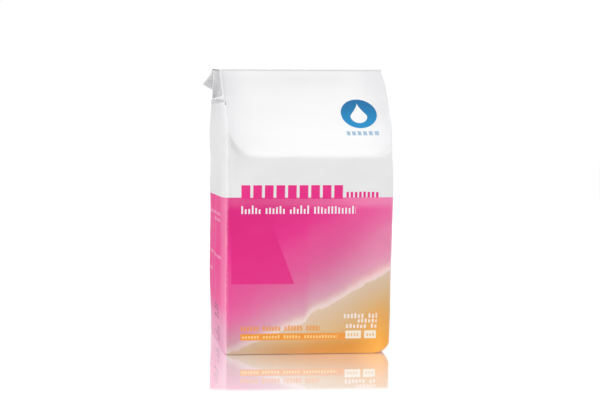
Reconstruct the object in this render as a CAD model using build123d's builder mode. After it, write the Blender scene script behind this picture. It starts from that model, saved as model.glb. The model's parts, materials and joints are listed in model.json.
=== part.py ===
from build123d import *
from math import atan, degrees, hypot, radians, sin, cos, tan
import os

# A side-gusseted, block-bottom bag of laminated film, filled with powder. It stands on its folded
# base. Above the shoulder creases the front and back lean together like a gable, and the flattened
# tube goes on past the ridge as a flap with the heat seal at its end. The flap is folded back.
#
# Frame: X across the front (+X is the right side seen from the front), front at -Y, +Z up.
# The origin is the centre of the base, on the surface that the bag stands on. Lengths are in mm.

# --- driving dimensions -------------------------------------------------------------------------
bag_width = 106        # across the front, between its vertical creases
bag_depth = 66         # front to back
shoulder_height = 128  # the crease where the front and back start to lean in
roof_height = 182      # where the two leaning shoulders meet
pleat_height = 163     # where each side gusset folds inwards
ridge_width = 114      # the film lies flatter at the ridge, so it is a little wider there
flap_end_width = 117   # and widest at the free end of the flap, where it is quite flat
film = 0.15            # laminated film, one ply

flap_length = 21       # from the fold to the free end
flap_droop = 40        # degrees below the horizontal, as it rests
seal_width = 10        # the crimped band at the flap's free end
seam_width = 12        # the fin seal down the middle of the back, folded flat to the right
base_overlap = 12      # where the two base flaps are sealed together
gusset_fold = bag_depth / 2   # how far each gusset reaches in once it is folded flat

powder_height = 118    # settled powder; the rest of the bag is head space
powder_gap = 0.1       # between the powder and the film round it

hinge_rise = 0.96      # the fold's axis above the meeting line of the shoulders
fold_radius = 0.45     # the rolled plies at the fold
flap_start = 1.0       # the flap's plies begin this far from the fold's axis
seam_clearance = 4.5   # bare length each side of the fold, where the fin seal is trimmed back
crease_gap = 0.3       # relief between plies that meet at a slanted crease

# --- worked out from them -----------------------------------------------------------------------
half_width = bag_width / 2
half_depth = bag_depth / 2
roof_rise = roof_height - shoulder_height
shoulder_length = hypot(half_depth, roof_rise)
lean = degrees(atan(half_depth / roof_rise))        # of the shoulders, from the vertical
mitre = film * roof_rise / half_depth               # trims one ply where the shoulders meet
hinge_height = roof_height + hinge_rise
wall_foot = film                                    # the walls stand on the base flaps
front, back = -1, 1
left, right = -1, 1
side_names = {left: "left", right: "right"}

os.makedirs("parts", exist_ok=True)


def finish(part, name):
    """Label one finished piece and write it to its own file."""
    part.label = name
    export_step(part, f"parts/{name}.step")


def wall_plane(face):
    """The outside of the front or back wall: x across it, y up it, z outwards."""
    return Plane(origin=(0, face * half_depth, 0), x_dir=(-face, 0, 0), z_dir=(0, face, 0))


def shoulder_plane(face, depth=0.0):
    """A shoulder's outer face, or a plane this far inside it: x across it, y up it, z outwards."""
    outward = Vector(0, face * cos(radians(lean)), sin(radians(lean)))
    foot = Vector(0, face * half_depth, shoulder_height) - outward * depth
    return Plane(origin=foot, x_dir=(-face, 0, 0), z_dir=outward)


def half_width_at(along):
    """Half the shoulder's width, this far up it from its crease."""
    return half_width + (ridge_width - bag_width) / 2 * along / shoulder_length


def depth_at(height, inset=0.0):
    """Distance from the middle plane to a shoulder at this height, less this many mm of film."""
    return half_depth * (roof_height - height) / roof_rise - inset / cos(radians(lean))


def film_panel(plane, *outline):
    """One flat ply of film: its outline drawn on its outer face, and thickened inwards."""
    with BuildPart() as panel:
        with BuildSketch(plane):
            with BuildLine():
                Polyline(*outline, close=True)
            make_face()
        extrude(amount=-film)
    return panel


# --- front and back walls -----------------------------------------------------------------------
front_panel = film_panel(
    wall_plane(front),
    (-half_width, wall_foot), (half_width, wall_foot),
    (half_width, shoulder_height), (-half_width, shoulder_height),
)
finish(front_panel.part, "front_panel")

# the web's two long edges meet in the middle of the back
for side in (left, right):
    x_side = -side * half_width      # the back's own x axis runs the other way
    back_panel = film_panel(
        wall_plane(back),
        (0, wall_foot), (x_side, wall_foot), (x_side, shoulder_height), (0, shoulder_height),
    )
    finish(back_panel.part, f"back_panel_{side_names[side]}")

# --- shoulders ----------------------------------------------------------------------------------
shoulder_foot = film * tan(radians(lean))
shoulder_head = shoulder_length - mitre
front_shoulder = film_panel(
    shoulder_plane(front),
    (-half_width_at(shoulder_foot), shoulder_foot), (half_width_at(shoulder_foot), shoulder_foot),
    (half_width_at(shoulder_head), shoulder_head), (-half_width_at(shoulder_head), shoulder_head),
)
finish(front_shoulder.part, "front_shoulder")

for side in (left, right):
    foot_x = -side * half_width_at(shoulder_foot)
    head_x = -side * half_width_at(shoulder_head)
    back_shoulder = film_panel(
        shoulder_plane(back),
        (0, shoulder_foot), (foot_x, shoulder_foot), (head_x, shoulder_head), (0, shoulder_head),
    )
    finish(back_shoulder.part, f"back_shoulder_{side_names[side]}")

# --- fin seal up the back, two plies folded flat against it --------------------------------------
fin_depth = 2 * film
fin_head = shoulder_length - seam_clearance
outward = shoulder_plane(back).z_dir
fin_top = shoulder_plane(back).from_local_coords(Vector(0, fin_head, 0))
fin_top_outer = fin_top + outward * fin_depth
with BuildPart() as back_fin_seal:
    with BuildSketch(Plane.YZ):
        with BuildLine():
            Polyline(
                (half_depth, wall_foot),
                (half_depth, shoulder_height),
                (fin_top.Y, fin_top.Z),
                (fin_top_outer.Y, fin_top_outer.Z),
                (half_depth + fin_depth, shoulder_height + fin_depth * tan(radians(lean / 2))),
                (half_depth + fin_depth, wall_foot),
                close=True,
            )
        make_face()
    extrude(amount=seam_width)
finish(back_fin_seal.part, "back_fin_seal")

# --- side gussets, each creased down its middle, leaning out to meet the ends of the ridge --------
gusset_edge = half_depth - film
pleat_along = (pleat_height - shoulder_height) / cos(radians(lean))
pleat_half_width = half_width_at(pleat_along)
for side in (left, right):
    for face, half_name in ((front, "front"), (back, "rear")):
        with BuildPart() as half_gusset:
            with BuildSketch(Plane.XZ):
                with BuildLine():
                    Polyline(
                        (side * half_width, wall_foot),
                        (side * half_width, shoulder_height),
                        (side * pleat_half_width, pleat_height),
                        (side * (pleat_half_width - film), pleat_height),
                        (side * (half_width - film), shoulder_height),
                        (side * (half_width - film), wall_foot),
                        close=True,
                    )
                make_face()
            extrude(amount=-face * gusset_edge)
            split(bisect_by=shoulder_plane(face, film), keep=Keep.BOTTOM)
        finish(half_gusset.part, f"{side_names[side]}_gusset_{half_name}")

# --- gusset tucks: above the pleat each gusset is folded in under the shoulders -----------------
tuck_foot = pleat_along + crease_gap
tuck_head = shoulder_length - 2 * mitre
tuck_point = ridge_width / 2 - gusset_fold
pocket_top = roof_height - 2 * film / sin(radians(lean))
for side in (left, right):
    for face, ply_name in ((front, "front"), (back, "rear")):
        across = -face * side        # the shoulder plane's own x axis, towards this side
        tuck_ply = film_panel(
            shoulder_plane(face, film),
            (across * (pleat_half_width - crease_gap), tuck_foot),
            (across * (half_width_at(tuck_head) - crease_gap), tuck_head),
            (across * tuck_point, tuck_head),
        )
        finish(tuck_ply.part, f"{side_names[side]}_tuck_{ply_name}")

    # the web between the two plies runs up from the pleat to the ridge
    web_foot = pleat_half_width - film
    rise, run = pocket_top - pleat_height, web_foot - tuck_point
    web_length = hypot(rise, run) - 4 * crease_gap
    web_normal = Vector(side * rise, 0, run).normalized()
    web_plane = Plane(origin=(side * web_foot, 0, pleat_height), x_dir=(0, side, 0), z_dir=web_normal)
    web_half_depth = depth_at(pleat_height, 2 * film) - crease_gap
    tuck_web = film_panel(
        web_plane,
        (-web_half_depth, 0), (web_half_depth, 0),
        (crease_gap / 2, web_length), (-crease_gap / 2, web_length),
    )
    finish(tuck_web.part, f"{side_names[side]}_tuck_web")

# --- base: front and rear flaps, sealed where they overlap, over the folded-in sides -------------
inner_half_width = half_width - film
base_plane = Plane(origin=(0, 0, 0), x_dir=(1, 0, 0), z_dir=(0, 0, -1))
for face, flap_name in ((front, "front"), (back, "rear")):
    base_flap = film_panel(
        base_plane,
        (-half_width, -face * half_depth), (half_width, -face * half_depth),
        (half_width, -face * base_overlap / 2), (-half_width, -face * base_overlap / 2),
    )
    finish(base_flap.part, f"base_flap_{flap_name}")

seal_depth = 2 * film
with BuildPart() as base_seal:
    with BuildSketch(Plane.XY):
        Rectangle(2 * inner_half_width, base_overlap)
    extrude(amount=seal_depth)
finish(base_seal.part, "base_seal")

tuck_ply_depth = 2 * film
for side in (left, right):
    with BuildPart() as base_tuck:
        with BuildSketch(Plane.XY.offset(wall_foot)):
            with BuildLine():
                Polyline(
                    (side * inner_half_width, -gusset_edge),
                    (side * inner_half_width, gusset_edge),
                    (side * (inner_half_width - gusset_fold), 0),
                    close=True,
                )
            make_face()
        extrude(amount=tuck_ply_depth)
        with BuildSketch(Plane.XY):
            Rectangle(bag_width, base_overlap)
        extrude(amount=seal_depth, mode=Mode.SUBTRACT)
    finish(base_tuck.part, f"base_tuck_{side_names[side]}")

# --- powder: a settled block with soft edges and a crowned top -----------------------------------
powder_foot = wall_foot + tuck_ply_depth
powder_corner = 5
powder_crown = 9
with BuildPart() as powder_fill:
    with BuildSketch(Plane.XY.offset(powder_foot)):
        Rectangle(bag_width - 2 * (film + powder_gap), bag_depth - 2 * (film + powder_gap))
    extrude(amount=powder_height - powder_foot)
    fillet(powder_fill.edges().filter_by(Axis.Z), radius=powder_corner)
    fillet(powder_fill.edges().group_by(Axis.Z)[-1], radius=powder_crown)
finish(powder_fill.part, "powder_fill")

# --- ridge fold: the rolled plies round the fold's axis, on a neck between the shoulders ---------
neck_half = film * cos(radians(lean))
neck_side = roof_height - mitre * cos(radians(lean))
neck_root = neck_side - film * sin(radians(lean))
with BuildPart() as ridge_fold:
    with BuildSketch(Plane.YZ):
        with BuildLine():
            Polyline(
                (0, neck_root), (neck_half, neck_side), (neck_half, hinge_height),
                (-neck_half, hinge_height), (-neck_half, neck_side),
                close=True,
            )
        make_face()
        with Locations((0, hinge_height)):
            Circle(fold_radius)
    extrude(amount=ridge_width / 2, both=True)
finish(ridge_fold.part, "ridge_fold")

# --- folded-back flap, in the plane of its plies: x along the ridge, y away from the fold --------
flap_outward = Vector(0, sin(radians(flap_droop)), cos(radians(flap_droop)))
seal_start = flap_length - seal_width


def flap_plane(height):
    """A plane of the flap, this far outside the middle of its plies."""
    origin = Vector(0, 0, hinge_height) + flap_outward * height
    return Plane(origin=origin, x_dir=(1, 0, 0), z_dir=flap_outward)


def flap_half_width(along):
    """Half the flap's width, this far from the fold."""
    return (ridge_width + (flap_end_width - ridge_width) * along / flap_length) / 2


for height, ply_name in ((2 * film, "outer"), (-film, "inner")):
    flap_ply = film_panel(
        flap_plane(height),
        (-flap_half_width(flap_start), flap_start), (flap_half_width(flap_start), flap_start),
        (flap_half_width(seal_start), seal_start), (-flap_half_width(seal_start), seal_start),
    )
    finish(flap_ply.part, f"flap_ply_{ply_name}")

# the gusset's two plies lie folded between them, one pair at each side
for side in (left, right):
    with BuildPart() as flap_gusset:
        with BuildSketch(flap_plane(-film)):
            with BuildLine():
                Polyline(
                    (side * tuck_point, flap_start),
                    (side * flap_half_width(flap_start), flap_start),
                    (side * flap_half_width(seal_start), seal_start),
                    (side * tuck_point, seal_start),
                    close=True,
                )
            make_face()
        extrude(amount=2 * film)
    finish(flap_gusset.part, f"flap_gusset_{side_names[side]}")

with BuildPart() as flap_fin_seal:
    with BuildSketch(flap_plane(-2 * film)):
        with BuildLine():
            Polyline(
                (0, seam_clearance), (seam_width, seam_clearance),
                (seam_width, seal_start), (0, seal_start),
                close=True,
            )
        make_face()
    extrude(amount=-fin_depth)
finish(flap_fin_seal.part, "flap_fin_seal")

# the top seal: every ply fused in one crimped band
with BuildPart() as top_seal:
    with BuildSketch(flap_plane(-2 * film)):
        with BuildLine():
            Polyline(
                (-flap_half_width(seal_start), seal_start), (flap_half_width(seal_start), seal_start),
                (flap_half_width(flap_length), flap_length),
                (-flap_half_width(flap_length), flap_length),
                close=True,
            )
        make_face()
    extrude(amount=4 * film)
finish(top_seal.part, "top_seal")
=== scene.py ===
import json
import math

import bpy
import numpy as np
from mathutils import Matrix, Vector


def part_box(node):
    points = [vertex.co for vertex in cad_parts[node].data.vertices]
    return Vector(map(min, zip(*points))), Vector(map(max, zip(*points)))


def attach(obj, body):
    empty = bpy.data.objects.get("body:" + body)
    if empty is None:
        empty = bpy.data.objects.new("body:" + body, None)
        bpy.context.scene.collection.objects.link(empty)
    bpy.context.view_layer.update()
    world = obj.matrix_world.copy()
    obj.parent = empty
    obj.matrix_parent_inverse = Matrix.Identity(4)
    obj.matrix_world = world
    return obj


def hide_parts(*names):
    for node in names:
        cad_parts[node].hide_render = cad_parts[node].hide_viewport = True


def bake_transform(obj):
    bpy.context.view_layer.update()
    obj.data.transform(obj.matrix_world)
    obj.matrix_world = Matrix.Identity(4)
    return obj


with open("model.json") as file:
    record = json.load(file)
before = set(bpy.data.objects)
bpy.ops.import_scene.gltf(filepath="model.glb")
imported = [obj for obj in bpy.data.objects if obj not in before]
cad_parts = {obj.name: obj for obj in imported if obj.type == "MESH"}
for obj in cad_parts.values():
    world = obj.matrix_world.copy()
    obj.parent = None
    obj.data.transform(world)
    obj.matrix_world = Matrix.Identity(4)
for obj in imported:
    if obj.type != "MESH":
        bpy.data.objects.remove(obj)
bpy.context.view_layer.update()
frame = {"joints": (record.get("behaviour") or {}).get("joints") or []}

# A side-gusseted bag of printed, laminated film, full of powder, standing on its folded base.
# The film is worked out in millimetres as one continuous web, a grid of points whose columns run
# round the bag and whose rows run up it, and is then cut into panels at its creases. Two more
# grids carry it on round the ridge fold and along the flap. Front is at -Y and +Z is up.
MM = 0.001


def node_box(name):
    """A CAD node's lowest and highest corners, in millimetres."""
    low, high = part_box(name)
    return np.array(low) / MM, np.array(high) / MM


# --- sizes that come from the frame ---
WALL_LOW, WALL_HIGH = node_box("front_panel")
FLAP_SEAL_LOW, FLAP_SEAL_HIGH = node_box("top_seal")
FIN_LOW, FIN_HIGH = node_box("back_fin_seal")
POWDER_LOW, POWDER_HIGH = node_box("powder_fill")
TUCK_LOW, TUCK_HIGH = node_box("left_tuck_front")
BASE_SEAL_HALF = node_box("base_seal")[1][1]
HALF_WIDTH = WALL_HIGH[0]
HALF_DEPTH = -WALL_LOW[1]
PLEAT = node_box("left_gusset_front")[1][2] + 1.6     # the lip stands just above the CAD edge
RIDGE_HALF = node_box("ridge_fold")[1][0]
GUSSET_FOLD = TUCK_HIGH[0] - TUCK_LOW[0]
FIN_WIDTH = FIN_HIGH[0] - FIN_LOW[0]
AXIS_HEIGHT = frame["joints"][0]["pos_m"][2] / MM
FLAP_LENGTH = math.hypot(FLAP_SEAL_HIGH[1], AXIS_HEIGHT - FLAP_SEAL_LOW[2])
FLAP_DROOP = math.atan2(AXIS_HEIGHT - FLAP_SEAL_LOW[2], FLAP_SEAL_HIGH[1])
SEAL_WIDTH = math.hypot(
    FLAP_SEAL_HIGH[1] - FLAP_SEAL_LOW[1], FLAP_SEAL_HIGH[2] - FLAP_SEAL_LOW[2]
)

# --- how the film lies ---
FILM = 0.15               # thickness of one ply
FOLD_RADIUS = 0.8         # the film's outer surface where it turns over the ridge
EDGE_RADIUS = 2.0         # the vertical edges, puffed out by the powder
TUCK_RADIUS = 0.85        # the edge folds above the pleat
BASE_RADIUS = 0.9         # where the walls turn under
CREASE_MIDDLE = 126.5     # the shoulder crease, in the middle of the front
RIGHT_CREASE_RISE = 5.0   # and how far it curves up near the corners
LEFT_CREASE_RISE = 12.0
SHOULDER_SAG = 5.8        # the head space has collapsed, so the shoulders are hollow
WALL_PUFF = 0.9           # how far the powder swells the front and the back,
LEFT_PUFF = 2.4           # and the gussets
RIGHT_PUFF = 0.7
FLAP_CORNER_LIFT = math.radians(23)
FLAP_SWAY = math.radians(2.5)   # the flap waves gently across its width

# --- the grid ---
SHEET_COLUMNS = 76        # across the front or the back
ARC_COLUMNS = 8           # round each corner
PLY_COLUMNS = 12          # gusset film next to a corner: it becomes a tuck ply above the pleat
WEB_COLUMNS = 26          # gusset film between the two
BASE_ROWS = 6
WALL_ROWS = 84
SHOULDER_ROWS = 30
TUCK_ROWS = 26
SIDE_COLUMNS = 2 * (ARC_COLUMNS + PLY_COLUMNS) + WEB_COLUMNS
FRONT_START = 0
RIGHT_START = SHEET_COLUMNS
BACK_START = RIGHT_START + SIDE_COLUMNS
LEFT_START = BACK_START + SHEET_COLUMNS
COLUMNS = LEFT_START + SIDE_COLUMNS
CREASE_ROW = BASE_ROWS + WALL_ROWS
PLEAT_ROW = CREASE_ROW + SHOULDER_ROWS
TOP_ROW = PLEAT_ROW + TUCK_ROWS

FRONT, BACK = -1, 1
LEFT, RIGHT = -1, 1
SIDE_NAMES = {LEFT: "left", RIGHT: "right"}


# --- small helpers ---
def smoothstep(value, start, end):
    """0 before start, 1 after end and smooth between them."""
    t = np.clip((value - start) / (end - start), 0, 1)
    return t * t * (3 - 2 * t)


def crowded(count):
    """Shares from 0 up to 1, which it leaves out, twice as close together near both ends."""
    even = np.arange(count) / count
    return 0.5 * even + 0.25 * (1 - np.cos(math.pi * even))


def smooth_max(a, b, softness):
    """The larger of two values, with the change from one to the other rounded off."""
    return (a + b + np.sqrt((a - b) ** 2 + softness**2)) / 2


def bell(value, centre, width):
    """A bump of height 1."""
    return np.exp(-(((value - centre) / width) ** 2))


def waves(points, wavelength, seed, count=9):
    """Soft undulation, about 1 at its strongest: sine waves that run in random directions."""
    random = np.random.default_rng(seed)
    total = np.zeros(points.shape[:-1])
    for _ in range(count):
        direction = random.normal(size=3)
        direction /= np.linalg.norm(direction)
        length = wavelength * random.uniform(0.7, 1.5)
        total += np.sin(points @ direction * 2 * math.pi / length + random.uniform(0, 2 * math.pi))
    return total / math.sqrt(count)


def grid_normals(points, closed):
    """Outward unit normals of a grid of points. A closed grid joins its last column to its first."""
    if closed:
        across = np.roll(points, -1, axis=1) - np.roll(points, 1, axis=1)
    else:
        across = np.gradient(points, axis=1)
    along = np.gradient(points, axis=0)
    normals = np.cross(across, along)
    return normals / np.maximum(np.linalg.norm(normals, axis=2, keepdims=True), 1e-9)


# --- the pouch: front, back and gussets from the base to the ridge ---
SHEET_SHARES = crowded(SHEET_COLUMNS)


def crease_height(x):
    """Height of the shoulder crease at x. It curves up near the corners, the left one more."""
    near_corner = np.minimum(np.abs(x), HALF_WIDTH) / (HALF_WIDTH - 2.5)
    left = LEFT_CREASE_RISE * near_corner**8
    right = RIGHT_CREASE_RISE * near_corner**14
    return CREASE_MIDDLE + np.where(x < 0, left, right)


SLOPE_TOP_ANGLE = math.radians(149)   # the front slope meets the ridge fold here, from +Y over +Z
SLOPE_TOP_Y = FOLD_RADIUS * math.cos(SLOPE_TOP_ANGLE)
SLOPE_TOP_Z = AXIS_HEIGHT + FOLD_RADIUS * math.sin(SLOPE_TOP_ANGLE)
BACK_TOP_Y = 0.45


def base_inset(z):
    """How far the walls have turned in, this near the base."""
    rise = np.clip(BASE_RADIUS - z, 0, BASE_RADIUS)
    return BASE_RADIUS - np.sqrt(np.maximum(BASE_RADIUS**2 - rise**2, 0))


def sheet_y(face, x, z):
    """The front or back sheet's distance behind the middle plane."""
    crease = crease_height(x)
    across = np.clip(np.abs(x) / HALF_WIDTH, 0, 1)
    top = -SLOPE_TOP_Y if face == FRONT else BACK_TOP_Y
    wall_share = np.clip(z / crease, 0, 1)
    wall = HALF_DEPTH + WALL_PUFF * (1 - across**4) * np.sin(math.pi * wall_share) - base_inset(z)
    climb = (z - crease) / (SLOPE_TOP_Z - crease)
    hollow = SHOULDER_SAG * (1 - across**3) * np.sin(math.pi * np.clip(climb, 0, 1)) ** 1.1
    slope = HALF_DEPTH + (top - HALF_DEPTH) * climb - hollow
    softness = 0.4 + 2.2 * across**8
    return face * -smooth_max(-wall, -slope, softness * np.clip((SLOPE_TOP_Z - z) / 20, 0, 1))


def sheet_half_width(side, face, z):
    """Half the width of the front or back sheet, on one side."""
    climb = np.clip((z - CREASE_MIDDLE) / (AXIS_HEIGHT - CREASE_MIDDLE), 0, 1)
    spread = (RIDGE_HALF - HALF_WIDTH) * climb
    if side == LEFT and face == FRONT:
        drawn_in = 0.8 * bell(z, 156, 11)
        spread = 0.5 * climb - drawn_in
    if side == RIGHT:
        filled = 0.6 * (1 - smoothstep(z, 90, 120))
        above_crease = 1.1 * bell(z, 133, 11)
        at_ridge = 1.2 * smoothstep(z, 172, 183)
        at_foot = 2.8 * np.clip(1 - z / 7, 0, 1) ** 1.6
        spread = spread + filled - above_crease - at_ridge - at_foot
    return HALF_WIDTH + spread - base_inset(z)


def corner_radius(side, z):
    """Radius of the vertical edges: larger at the base, and a narrow fold above the pleat."""
    near_base = np.clip(1 - z / 8, 0, 1) ** 2
    above_crease = smoothstep(z, CREASE_MIDDLE - 25, PLEAT - 22)
    pulled_in = 6.5 if side == RIGHT else 0.8
    radius = EDGE_RADIUS + pulled_in * near_base + (TUCK_RADIUS - EDGE_RADIUS) * above_crease
    edge = side * RIDGE_HALF
    room = (sheet_y(BACK, edge, z) - sheet_y(FRONT, edge, z)) / 4
    return np.minimum(radius, 0.9 * room)


def side_columns(side, z):
    """x and y of one side's columns, from its front edge to its rear edge: an arc and a ply at
    each end with the web between them. Below the pleat they lie open, and above it the plies are
    tucked in behind the sheets."""
    radius = corner_radius(side, z)
    tucked = smoothstep(z, PLEAT - 0.5, PLEAT + 2.5)
    tuck = GUSSET_FOLD / (SLOPE_TOP_Z - PLEAT) * smooth_max(z - PLEAT, 0, 1.2)
    open_ply = 5.5 * smoothstep(PLEAT - z, 0, 25)
    turn = math.pi / 2 * (1 + tucked)
    angle = turn * np.arange(ARC_COLUMNS)[:, None] / ARC_COLUMNS
    ply_length = 0.5 + np.maximum(tuck, open_ply)
    gone = ply_length * np.arange(PLY_COLUMNS + 1)[:, None] / PLY_COLUMNS
    halves = []
    for face in (FRONT, BACK):
        centre_x = sheet_half_width(side, face, z) - radius
        centre_y = sheet_y(face, side * centre_x, z) - face * radius
        arc_x = centre_x + radius * np.sin(angle)
        arc_y = centre_y + face * radius * np.cos(angle)
        ply_x = centre_x + radius * np.sin(turn) + gone * np.cos(turn)
        open_y = centre_y + face * (radius * np.cos(turn) - gone * np.sin(turn))
        under_y = sheet_y(face, side * ply_x, z) - face * 2 * radius
        ply_y = open_y + tucked * (under_y - open_y)
        halves.append([np.concatenate([arc_x, ply_x]), np.concatenate([arc_y, ply_y])])
    share = np.arange(1, WEB_COLUMNS)[:, None] / WEB_COLUMNS
    # the front half runs inwards and ends where the web starts; the rear half runs back out
    x, y = [
        np.concatenate([front, front[-1] + (back[-1] - front[-1]) * share, back[:0:-1]])
        for front, back in zip(*halves)
    ]
    return side * x, y


def row_heights(crease):
    """Heights of every row on a column whose shoulder crease is at this height."""
    turn = np.linspace(0, math.pi / 2, BASE_ROWS + 1)[:-1]
    base = BASE_RADIUS * (1 - np.cos(turn))
    wall = BASE_RADIUS + (crease - BASE_RADIUS) * crowded(WALL_ROWS)
    shoulder = crease + (PLEAT - crease) * crowded(SHOULDER_ROWS)
    tuck = PLEAT + (SLOPE_TOP_Z - PLEAT) * np.linspace(0, 1, TUCK_ROWS + 1) ** 1.25
    return np.concatenate([base, wall, shoulder, tuck])


def gusset_bulge(y, z, side):
    """How far the open gussets stand out. Each has a shallow groove along its middle crease, and
    ends in a lip where it folds in at the pleat."""
    depth = np.maximum(np.abs(sheet_y(FRONT, side * (HALF_WIDTH - 2), z)), 1.0)
    across = np.clip(np.abs(y) / depth, 0, 1)
    up = smoothstep(z, 0, 45) * (1 - 0.12 * smoothstep(z, CREASE_MIDDLE, PLEAT - 4))
    puff = (LEFT_PUFF if side == LEFT else RIGHT_PUFF) * (1 - across**6) * up
    groove_depth, lip_height, under_lip = 0.3, 1.3, 0.8
    groove = groove_depth * bell(y, 0, 2.2) * smoothstep(z, 3, 20)
    towards_front = smoothstep(-y, -depth, depth)
    lip = lip_height * bell(z, PLEAT - 0.8, 1.3) - under_lip * bell(z, PLEAT - 3.4, 1.0)
    lip *= towards_front**2 * (1.0 if side == LEFT else 0.15)
    return (puff - groove + lip) * (1 - smoothstep(z, PLEAT, PLEAT + 2))


def pouch_web():
    """The whole web below the ridge: points and normals, rows by columns."""
    share = SHEET_SHARES
    side = np.ones(SIDE_COLUMNS)
    places = np.concatenate([2 * share - 1, side, 1 - 2 * share, -side])
    creases = crease_height(places * (HALF_WIDTH - EDGE_RADIUS))
    z = np.array([row_heights(crease) for crease in creases]).T
    x, y = np.zeros_like(z), np.zeros_like(z)
    for face, start, step in ((FRONT, FRONT_START, share), (BACK, BACK_START, 1 - share)):
        columns = slice(start, start + SHEET_COLUMNS)
        height = z[:, columns]
        left_end = -(sheet_half_width(LEFT, face, height) - corner_radius(LEFT, height))
        right_end = sheet_half_width(RIGHT, face, height) - corner_radius(RIGHT, height)
        x[:, columns] = left_end + (right_end - left_end) * step
        y[:, columns] = sheet_y(face, x[:, columns], height)
        if face == FRONT:
            inward = x[:, columns] - left_end
            y[:, columns] -= edge_fold(inward, height)
            y[:, columns] += corner_dent(inward, crease_height(x[:, columns]) - height)
    for side, start in ((RIGHT, RIGHT_START), (LEFT, LEFT_START)):
        columns = slice(start, start + SIDE_COLUMNS)
        side_z = z[:, start]
        side_x, side_y = side_columns(side, side_z)
        if side == LEFT:   # the columns run round the bag, so here from the rear to the front
            side_x, side_y = np.roll(side_x[::-1], 1, axis=0), np.roll(side_y[::-1], 1, axis=0)
            side_x[0], side_y[0] = edge_start(LEFT, BACK, side_z)
        x[:, columns], y[:, columns] = side_x.T, side_y.T
        x[:, columns] += side * gusset_bulge(y[:, columns], z[:, columns], side)
    return wrinkle(np.stack([x, y, z], axis=2))


def edge_fold(inward, z):
    """The left edge of the front shoulder is rolled: a puffed line with a shallow valley beside it."""
    height = 0.25
    rolled = height * bell(inward, 0.6, 0.9) - height * bell(inward, 2.4, 1.0)
    return rolled * smoothstep(z, PLEAT - 6, PLEAT + 2) * (1 - smoothstep(z, 180, SLOPE_TOP_Z))


def corner_dent(inward, below):
    """The front wall is dented under the left end of the shoulder crease, where it holds no powder:
    deep just inside the edge and below the crease, and shallower towards the middle and the base."""
    depth, kink_height = 1.9, 0.45
    across = smoothstep(inward, 0.0, 2.2) * (1 - smoothstep(inward, 3, 15))
    down = smoothstep(below, -3, 6) * (1 - smoothstep(below, 8, 50))
    kink = kink_height * bell(inward, 2.0, 1.8) * bell(below, -7, 3.0)
    return depth * across * down - kink


def edge_start(side, face, z):
    """Where a sheet ends and the arc round the corner starts."""
    x = sheet_half_width(side, face, z) - corner_radius(side, z)
    return side * x, sheet_y(face, side * x, z)


def wrinkle(points):
    """Adds the slight unevenness that film has over powder, and dents in the empty shoulders."""
    z = points[..., 2]
    normals = grid_normals(points, closed=True)
    quiet = smoothstep(z, 2, 14) * (1 - smoothstep(z, PLEAT - 5, PLEAT + 3))
    shoulder = smoothstep(z, CREASE_MIDDLE, CREASE_MIDDLE + 8) * (1 - smoothstep(z, 172, 181))
    on_sheet = smoothstep(np.abs(normals[..., 1]), 0.3, 0.7)
    broad, dented, fine = 0.16, 0.42, 0.05
    move = broad * waves(points, 34, seed=3) * quiet
    move += dented * waves(points * [1, 1, 0.7], 30, seed=11) * shoulder * on_sheet
    move += fine * waves(points, 11, seed=5) * quiet
    points = points + normals * move[..., None]
    return points, grid_normals(points, closed=True)


# --- meshes ---
def add_mesh(name, vertices, faces, normals=None, scuff_and_highlight=None, body="pouch"):
    """A mesh object in metres. normals gives one vector per vertex for its smooth faces, and zero
    where a face shades flat."""
    mesh = bpy.data.meshes.new(name)
    mesh.from_pydata((np.asarray(vertices) * MM).tolist(), [], [list(f) for f in faces])
    mesh.validate(clean_customdata=False)
    mesh.update()
    piece = bpy.data.objects.new(name, mesh)
    bpy.context.scene.collection.objects.link(piece)
    if scuff_and_highlight is not None:
        attribute = mesh.attributes.new("scuff_and_highlight", "FLOAT", "POINT")
        attribute.data.foreach_set("value", np.asarray(scuff_and_highlight, np.float32))
    if normals is not None:
        mesh.normals_split_custom_set(normals)
    if body:
        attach(piece, body)
    return piece


def film_piece(name, points, normals, scuff_and_highlight=None, thickness=FILM, body="pouch"):
    """One panel as a closed thin solid: the grid is its outer surface, and its edges are closed by
    a narrow rim. The outer surface keeps the whole web's normals, so that panels join unseen."""
    rows, columns = points.shape[:2]
    count = rows * columns
    scuff_and_highlight = np.zeros(count) if scuff_and_highlight is None else scuff_and_highlight.ravel()
    outer = points.reshape(count, 3)
    inner = (points - normals * thickness).reshape(count, 3)
    index = np.arange(count).reshape(rows, columns)
    a, b = index[:-1, :-1].ravel(), index[:-1, 1:].ravel()
    c, d = index[1:, 1:].ravel(), index[1:, :-1].ravel()
    outside = np.stack([a, b, c, d], axis=1)
    inside = np.stack([d, c, b, a], axis=1) + count
    loop = np.concatenate([index[0, :-1], index[:-1, -1], index[-1, :0:-1], index[:0:-1, 0]])
    following = np.roll(loop, -1)
    rim = np.stack([following, loop, loop + count, following + count], axis=1)
    faces = np.concatenate([outside, inside, rim])
    vertices = np.concatenate([outer, inner])
    flat = normals.reshape(count, 3)
    along = vertices[rim[:, 0]] - vertices[rim[:, 1]]
    rim_normals = np.cross(along, flat[rim[:, 1]])
    rim_normals /= np.maximum(np.linalg.norm(rim_normals, axis=1, keepdims=True), 1e-9)
    loops = np.concatenate([
        flat[outside.ravel()], -flat[(inside - count).ravel()], np.repeat(rim_normals, 4, axis=0)
    ])
    return add_mesh(name, vertices, faces, loops.tolist(), np.tile(scuff_and_highlight, 2), body)


def dress(piece, node):
    """Lets a piece stand for a CAD node, whose part it hides, and gives it its material."""
    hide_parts(node)
    piece.data.materials.append(material(node))


def grid_piece(name, rows, node, thickness=FILM, body="pouch", facing=None):
    """A piece of film from rows of points. A level one that isn't crimped is told which way it
    faces: 1 for up and -1 for down."""
    points = np.array(rows)
    if facing is None:
        normals = grid_normals(points, closed=False)
    else:
        normals = np.full(points.shape, [0.0, 0.0, facing])
    dress(film_piece(name, points, normals, None, thickness, body), node)


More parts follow.
